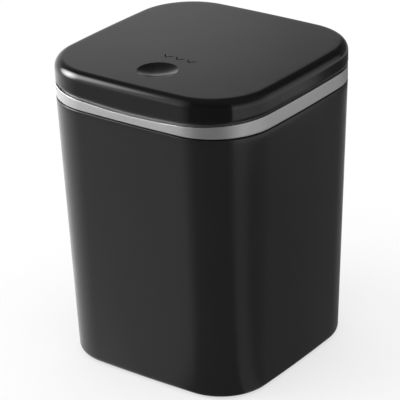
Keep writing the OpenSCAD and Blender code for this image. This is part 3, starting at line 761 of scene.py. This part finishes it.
lid_out = -lid_over
lid_in = lid_out + lid_wall
top_z = lid_high.z
ceiling_in = lid_in + ceiling_fillet
inner_fillet = arc(
    ceiling_in, ceiling_z - ceiling_fillet, ceiling_fillet, ceiling_fillet, 90, 180, 8,
)
inner_lip = arc(lid_in - lip_round, lip_z + lip_round, lip_round, lip_round, 0, -80, 4)
outer_lip = arc(
    lid_out + lip_curve_width, lip_z + lip_curve_height, lip_curve_width, lip_curve_height,
    270, 180, 12,
)
shoulder = arc(
    lid_out + shoulder_width, top_z - shoulder_height, shoulder_width, shoulder_height, 180, 90, 28,
)
inner_wall = line(inner_fillet[-1], inner_lip[0], 8)
outer_wall = line(outer_lip[-1], shoulder[0], 14)
lid_drops = lip_drop * np.concatenate([
    np.zeros(len(inner_fillet)),
    np.linspace(0, 1, len(inner_wall) + 2)[1:-1],
    np.ones(len(inner_lip) + len(outer_lip)),
    np.linspace(1, 0, len(outer_wall) + 2)[1:-1],
    np.zeros(len(shoulder)),
])
lid_profile = np.concatenate([inner_fillet, inner_wall, inner_lip, outer_lip, outer_wall, shoulder])
lid_side = lowered(sweep(bin_plan, lid_profile), lid_drops)
dimple_middle = np.array([0, dimple_y])
top_ring = lid_side[-1, :, :2] - dimple_middle
ray = top_ring / np.linalg.norm(top_ring, axis=1, keepdims=True)
fade = np.linspace(0, 1, 26)[1:, None, None]
flat_part = top_ring * (1 - fade) + ray * dimple_field * fade
rings = np.concatenate([
    np.linspace(dimple_field, rim_rings_from + rings_apart, 4)[1:],
    np.linspace(rim_rings_from, rim_rings_to, 18),
    np.linspace(rim_rings_to - rings_apart, dimple_hub, 34),
])
round_part = ray * rings[:, None, None]
flat_top = np.concatenate([flat_part, round_part]) + dimple_middle
distance = np.linalg.norm(flat_top - dimple_middle, axis=2, keepdims=True)
lid_top = np.concatenate([flat_top, top_z + dish(distance)], axis=2)
gloss_black = gloss_abs()
lid_grid = np.concatenate([lid_side, lid_top])
cover = mesh_piece("lid_moulding", *wrap(lid_grid, False), gloss_black, "lid")
arrow_y = dimple_y + arrow_from_dimple
cut(cover, [arrow_cutter(k * arrow_pitch, arrow_y, top_z) for k in (-1, 0, 1)])
finish_inside(
    cover,
    (-2 * arrow_pitch, arrow_y - arrow_width, top_z - 2 * arrow_depth),
    (2 * arrow_pitch, arrow_y + arrow_width, top_z - arrow_skin),
    matt_plastic("spark-eroded black ABS", 0.75, 0.9),
)
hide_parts("lid_cover")
arm_out = math.radians(45)
lid_arm = [
    [half_width - lid_wall / 2, lip_z + arm_foot],
    [hinge_y, hinge_z],
    [hinge_y + knuckle_radius * math.cos(arm_out), hinge_z + knuckle_radius * math.sin(arm_out)],
    [half_width + arm_stand, lip_z + arm_head],
    [half_width - lid_wall / 2, lip_z + arm_head],
]
for side_name, start in (("left", -lid_knuckle_x - knuckle_length), ("right", lid_knuckle_x)):
    piece = knuckle("lid_knuckle_" + side_name, start, start + knuckle_length, lid_arm,
                    pin_radius + pin_fit, gloss_black, "lid")

# Lid liner
# The flat plate that closes the lid from below, in the same matt polypropylene as the frame. Four
# screws hold it to posts in the cover. Its raised rim goes down inside the collar's upstand.

liner_low, liner_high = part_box("lid_liner")
liner_fit = 0.0002
liner_thickness = 0.0018
liner_rim_height = 0.003
liner_rim_thickness = 0.0016
rim_outer = 0.008
liner_edge = 0.0004
liner_flat = 0.004
post_radius = 0.0026
post_edge = 0.0003


def post(name, x, y, z0, z1, radius, edge, material, body):
    """A round post from z0 up to z1, with a rounded top edge."""
    a = np.linspace(0, 2 * math.pi, 48, endpoint=False)
    circle = np.stack([np.cos(a), np.sin(a)], axis=1)
    profile = np.concatenate([[[0, z0]], arc(edge, z1 - edge, edge, edge, 180, 90, 4)])
    grid = sweep((circle * radius + [x, y], circle), profile)
    return mesh_piece(name, *wrap(grid, False), material, body)


plate_z = liner_low.z + liner_rim_height
plate_top = plate_z + liner_thickness
rim_inner = rim_outer + liner_rim_thickness
plate_edge = lid_in + liner_fit
liner_profile = np.concatenate([
    [[rim_inner + liner_flat, plate_z]],
    arc(rim_inner + liner_edge, plate_z - liner_edge, liner_edge, liner_edge, 90, 180, 4),
    arc(rim_inner - liner_edge, liner_low.z + liner_edge, liner_edge, liner_edge, 0, -90, 4),
    arc(rim_outer + liner_edge, liner_low.z + liner_edge, liner_edge, liner_edge, 270, 180, 4),
    arc(rim_outer - liner_edge, plate_z - liner_edge, liner_edge, liner_edge, 0, 90, 4),
    arc(plate_edge + liner_edge, plate_z + liner_edge, liner_edge, liner_edge, 270, 180, 4),
    [[plate_edge, plate_top]],
])
liner_grid = sweep(bin_plan, liner_profile)
liner = mesh_piece("liner_plate", *wrap(liner_grid, False), frame_material, "lid")
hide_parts("lid_liner")

# Striker and screws
# The striker is a moulded tongue in grey acetal, held under the liner by two screws over the latch.
# All the screws are zinc-plated self-tappers with a cross recess.

striker_low, striker_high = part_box("striker")
screw_x = 0.0066
striker_ease = 0.00015


def acetal(name, low_tone, high_tone):
    """Acetal: a waxy half-matt skin with faint flow lines."""
    material, tree, shader = new_material(name, IOR=1.48)
    flow = noise(tree, 0.0012, 3, (1, 1, 6))
    tree.links.new(tint(tree, flow, low_tone, high_tone), shader.inputs["Base Color"])
    tree.links.new(spread(tree, noise(tree, 0.0015, 3), 0.32, 0.42), shader.inputs["Roughness"])
    tree.links.new(bump(tree, flow, 0.000008), shader.inputs["Normal"])
    return material


striker_y = (striker_low.y + striker_high.y) / 2
for side_name, x in (("left", -screw_x), ("right", screw_x)):
    piece = post("liner_post_" + side_name, x, striker_y, plate_top - liner_edge, liner_high.z,
                 post_radius, post_edge, frame_material, "lid")
grey_acetal = acetal("grey acetal", "#2f3031", "#38393a")
zinc = drawn_steel("zinc-plated screw steel", "#8c9092", "#b4b8ba", (1, 1, 8))
dress("striker", grey_acetal, striker_ease)
for screw_name in ("lid_screws", "striker_screws", "latch_screws"):
    dress(screw_name, zinc)

# Latch
# A push latch on the collar's front pad: a housing in grey acetal, and in it a white slider on a
# spring, which carries two hooked jaws on steel pins. A bent wire follows the slider's cam track.

latch_spring_radius = 0.0022
latch_wire = 0.00035
latch_turns = 5
follower_wire = 0.0004
follower_bend = 0.0005
follower_offset = 0.0008
housing_ease = 0.0002
slider_ease = 0.0001

white_acetal = acetal("white acetal", "#c9cac6", "#d9dad6")
dress("latch_housing", grey_acetal, housing_ease)
for part_name in ("latch_slider", "latch_jaw_left", "latch_jaw_right"):
    dress(part_name, white_acetal, slider_ease)
dress("jaw_pins", pin_steel)
spring_low, spring_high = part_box("latch_spring")
spring_y = (spring_low.y + spring_high.y) / 2
along, right, back = helix(latch_turns, spring_low.z + latch_wire, spring_high.z - latch_wire,
                           latch_spring_radius)
coil = np.stack([right, spring_y + back, along], axis=1)
away = np.stack([right, back, 0 * along], axis=1)
latch_spring = wire("latch_coil_spring", coil, away, latch_wire, spring_steel, "collar")
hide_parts("latch_spring")
follower_low, follower_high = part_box("cam_follower")
pivot_z = follower_low.z + follower_wire
tip_z = follower_high.z - follower_wire
stem_y = follower_low.y + follower_offset
quarter_turn = np.radians(np.linspace(0, 90, 10))
lower_bend = np.stack([
    0 * quarter_turn,
    stem_y + follower_bend * (1 - np.sin(quarter_turn)),
    pivot_z + follower_bend * (1 - np.cos(quarter_turn)),
], axis=1)
upper_bend = np.stack([
    0 * quarter_turn,
    stem_y - follower_bend * (1 - np.cos(quarter_turn)),
    tip_z - follower_bend * (1 - np.sin(quarter_turn)),
], axis=1)
follower_path = np.concatenate([
    [[0, follower_high.y, pivot_z]], lower_bend, upper_bend, [[0, follower_low.y, tip_z]],
])
sideways = np.broadcast_to(np.array([1.0, 0, 0]), follower_path.shape)
follower = wire("cam_wire", follower_path, sideways, follower_wire, pin_steel, "cam_follower")
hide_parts("cam_follower")

# Floor and light
# A wide pale floor and a white room, with one large softbox at the left. What gloss sees of the
# room is dark high up and on the camera's side, where a studio has black flags. To glossy rays the
# floor glows with a painted reflection: painted light and shade round the bin's front corner, which
# changes some way out from the bin and again further out.

camera_azimuth = math.radians(36.447)
half_floor = 4.0
floor_tone = 0.95
# The floor's painted reflection: where its pattern blends from near to far and from far to outer,
# and how bright it glows.
glow_near = 0.42
glow_far = 0.5
glow_outer_from = 0.62
glow_outer_to = 0.85
reflection_glow = 1.25
shadow_softening = 0.6
softbox_size = 0.8
softbox_power = 4.0
softbox_place = (-0.8, -0.6, 0.9)
softbox_aim = (0, 0, 0.1)


def around(tree, vector):
    """Angle round the vertical as 0 to 1, with 0.5 towards the camera."""
    rotation = (0, 0, math.pi / 2 - camera_azimuth)
    turned = add(tree, "Mapping", {"Vector": vector, "Rotation": rotation}).outputs[0]
    return add(tree, "TexGradient", {"Vector": turned}, gradient_type="RADIAL").outputs["Fac"]


def ramp(tree, value, stops):
    """A grey ramp through stops of [place, brightness]."""
    made = add(tree, "ValToRGB", {"Fac": value})
    elements = made.color_ramp.elements
    while len(elements) < len(stops):
        elements.new(0.5)
    for element, (place, grey) in zip(elements, stops):
        element.position = place
        element.color = (grey, grey, grey, 1)
    return made.outputs["Color"]


def glow(tree, way, turn, height, radius, strength):
    """A round soft light in the room: strength * (1 - distance / radius), at least 0.

    Its middle is turn degrees from the camera's side and height degrees up, and distance is that
    between unit vectors.
    """
    turn, height = math.radians(turn - 90) + camera_azimuth, math.radians(height)
    level = math.cos(height)
    middle = (math.cos(turn) * level, math.sin(turn) * level, math.sin(height))
    near = add(tree, "Mapping", {
        "Vector": way, "Location": [-v / radius for v in middle], "Scale": [1 / radius] * 3,
    })
    ball = add(tree, "TexGradient", {"Vector": near.outputs[0]}, gradient_type="SPHERICAL")
    return add(tree, "Math", {0: ball.outputs["Fac"], 1: strength}, operation="MULTIPLY").outputs[0]


# Stops of the floor's painted light and shade round the bin's front corner, near, far and outer, as
# glossy rays see it.
near_stops = [
    (0.0, 1.0), (0.14, 1.0), (0.22, 0.62), (0.27, 0.43), (0.33, 0.4), (0.385, 0.13), (0.570, 0.09),
    (0.574, 0.3), (0.62, 0.27), (0.66, 0.12), (0.8, 0.13), (0.9, 0.25), (1.0, 1.0),
]
far_stops = [
    (0.0, 1.0), (0.14, 1.0), (0.2, 0.6), (0.26, 0.38), (0.33, 0.38), (0.38, 0.08), (0.570, 0.06),
    (0.574, 0.62), (0.64, 0.62), (0.7, 0.5), (0.803, 0.42), (0.812, 0.08), (0.93, 0.08), (1.0, 0.8),
]
outer_stops = [
    (0.0, 1.0), (0.14, 1.0), (0.2, 0.8), (0.3, 0.45), (0.38, 0.08), (0.570, 0.08), (0.574, 0.8),
    (0.79, 0.6), (0.83, 0.4), (0.95, 0.2), (1.0, 1.0),
]
room_stops = [
    (0.0, 0.93), (0.006, 1.0), (0.2, 1.0), (0.3, 0.8), (0.38, 0.1), (0.570, 0.08), (0.574, 0.95),
    (0.79, 0.75), (0.83, 0.12), (0.95, 0.12), (0.991, 0.6), (0.997, 0.85), (1.0, 0.93),
]
height_stops = [
    (0.0, 1.0), (0.17, 0.85), (0.342, 0.59), (0.374, 0.36), (0.454, 0.246), (0.5, 0.215),
    (0.6, 0.13), (0.75, 0.06), (1.0, 0.02),
]
room_lights = [(-103, 22, 0.46, 20.0), (-90, 22, 0.7, 1.2), (0, 90, 1.4, 0.12)]
floor_mesh = bpy.data.meshes.new("floor")
floor_signs = ((-1, -1), (1, -1), (1, 1), (-1, 1))
floor_corners = [(half_floor * x, half_floor * y, 0) for x, y in floor_signs]
floor_mesh.from_pydata(floor_corners, [], [(0, 1, 2, 3)])
floor = bpy.data.objects.new("floor", floor_mesh)
bpy.context.scene.collection.objects.link(floor)
floor_material = bpy.data.materials.new("pale studio floor")
floor_material.use_nodes = True
tree = floor_material.node_tree
tree.nodes.clear()
spot = add(tree, "TexCoord").outputs["Object"]
corner = (half_width - corner_radius, corner_radius - half_width, 0)
from_corner = add(tree, "VectorMath", {0: spot, 1: corner}, operation="SUBTRACT").outputs["Vector"]
turn = around(tree, from_corner)
reach_out = add(tree, "VectorMath", {0: spot}, operation="LENGTH").outputs["Value"]
glow_mix = add(tree, "Mix", {
    "Factor": spread(tree, reach_out, 0.0, 1.0, glow_near, glow_far),
    6: ramp(tree, turn, near_stops),
    7: ramp(tree, turn, far_stops),
}, data_type="RGBA")
floor_mix = add(tree, "Mix", {
    "Factor": spread(tree, reach_out, 0.0, 1.0, glow_outer_from, glow_outer_to),
    6: glow_mix.outputs[2],
    7: ramp(tree, turn, outer_stops),
}, data_type="RGBA")
path = add(tree, "LightPath")
matt = add(tree, "BsdfDiffuse", {"Color": (floor_tone, floor_tone, floor_tone, 1)}).outputs[0]
white = add(tree, "Emission", {"Color": (1, 1, 1, 1), "Strength": 1.0}).outputs[0]
lit = add(tree, "MixShader", {0: shadow_softening, 1: matt, 2: white}).outputs[0]
direct = add(tree, "MixShader", {0: path.outputs["Is Camera Ray"], 1: matt, 2: lit}).outputs[0]
# To glossy rays the floor glows with this painted reflection, though it is no lamp.
painted_reflection = add(tree, "Emission", {"Color": floor_mix.outputs[2], "Strength": reflection_glow}).outputs[0]
seen = add(tree, "MixShader", {0: path.outputs["Is Glossy Ray"], 1: direct, 2: painted_reflection})
add(tree, "OutputMaterial", {"Surface": seen.outputs[0]})
floor_mesh.materials.append(floor_material)

world = bpy.data.worlds.new("white room")
bpy.context.scene.world = world
world.use_nodes = True
tree = world.node_tree
tree.nodes.clear()
way = add(tree, "TexCoord").outputs["Generated"]
height = add(tree, "SeparateXYZ", {0: way}).outputs["Z"]
room = add(tree, "Math", {
    0: ramp(tree, height, height_stops), 1: ramp(tree, around(tree, way), room_stops),
}, operation="MULTIPLY").outputs[0]
for turn_out, height_up, radius, strength in room_lights:
    light = glow(tree, way, turn_out, height_up, radius, strength)
    room = add(tree, "Math", {0: room, 1: light}, operation="ADD").outputs[0]
shown = add(tree, "Mix", {
    "Factor": add(tree, "LightPath").outputs["Is Glossy Ray"], 2: 1.0, 3: room,
}, data_type="FLOAT")
background = add(tree, "Background", {"Color": (1, 1, 1, 1), "Strength": shown.outputs[0]})
add(tree, "OutputWorld", {"Surface": background.outputs[0]})

lamp = bpy.data.lights.new("softbox", "AREA")
lamp.shape, lamp.size, lamp.energy = "SQUARE", softbox_size, softbox_power
softbox = bpy.data.objects.new("softbox", lamp)
softbox.location = softbox_place
towards = Vector(softbox_aim) - softbox.location
softbox.rotation_euler = towards.to_track_quat("-Z", "Y").to_euler()
softbox.visible_glossy = False
bpy.context.scene.collection.objects.link(softbox)

# Camera
# It stands where the photograph was taken from, and its roll and aim put the bin where the
# photograph has it.

camera_elevation = math.radians(24.909)
camera_roll = math.radians(-1.653)
camera_distance = 1.3373
camera_middle = (0, 0, 0.08664)
aim_right = -0.00371
aim_up = 0.00804
focal_pixels = 2145.3
frame_pixels = 400

back = Vector((
    math.sin(camera_azimuth) * math.cos(camera_elevation),
    -math.cos(camera_azimuth) * math.cos(camera_elevation),
    math.sin(camera_elevation),
))
right = Vector((math.cos(camera_azimuth), math.sin(camera_azimuth), 0))
up = back.cross(right)
place = Vector(camera_middle) + camera_distance * back
aim = Vector(camera_middle) + aim_right * right + aim_up * up
lens = bpy.data.cameras.new("camera")
lens.lens = lens.sensor_width * focal_pixels / frame_pixels
camera = bpy.data.objects.new("camera", lens)
bpy.context.scene.collection.objects.link(camera)
look = (aim - place).to_track_quat("-Z", "Y").to_matrix().to_4x4()
camera.matrix_world = Matrix.Translation(place) @ look @ Matrix.Rotation(camera_roll, 4, "Z")
bpy.context.scene.camera = camera
bpy.context.scene.view_settings.view_transform = "Standard"
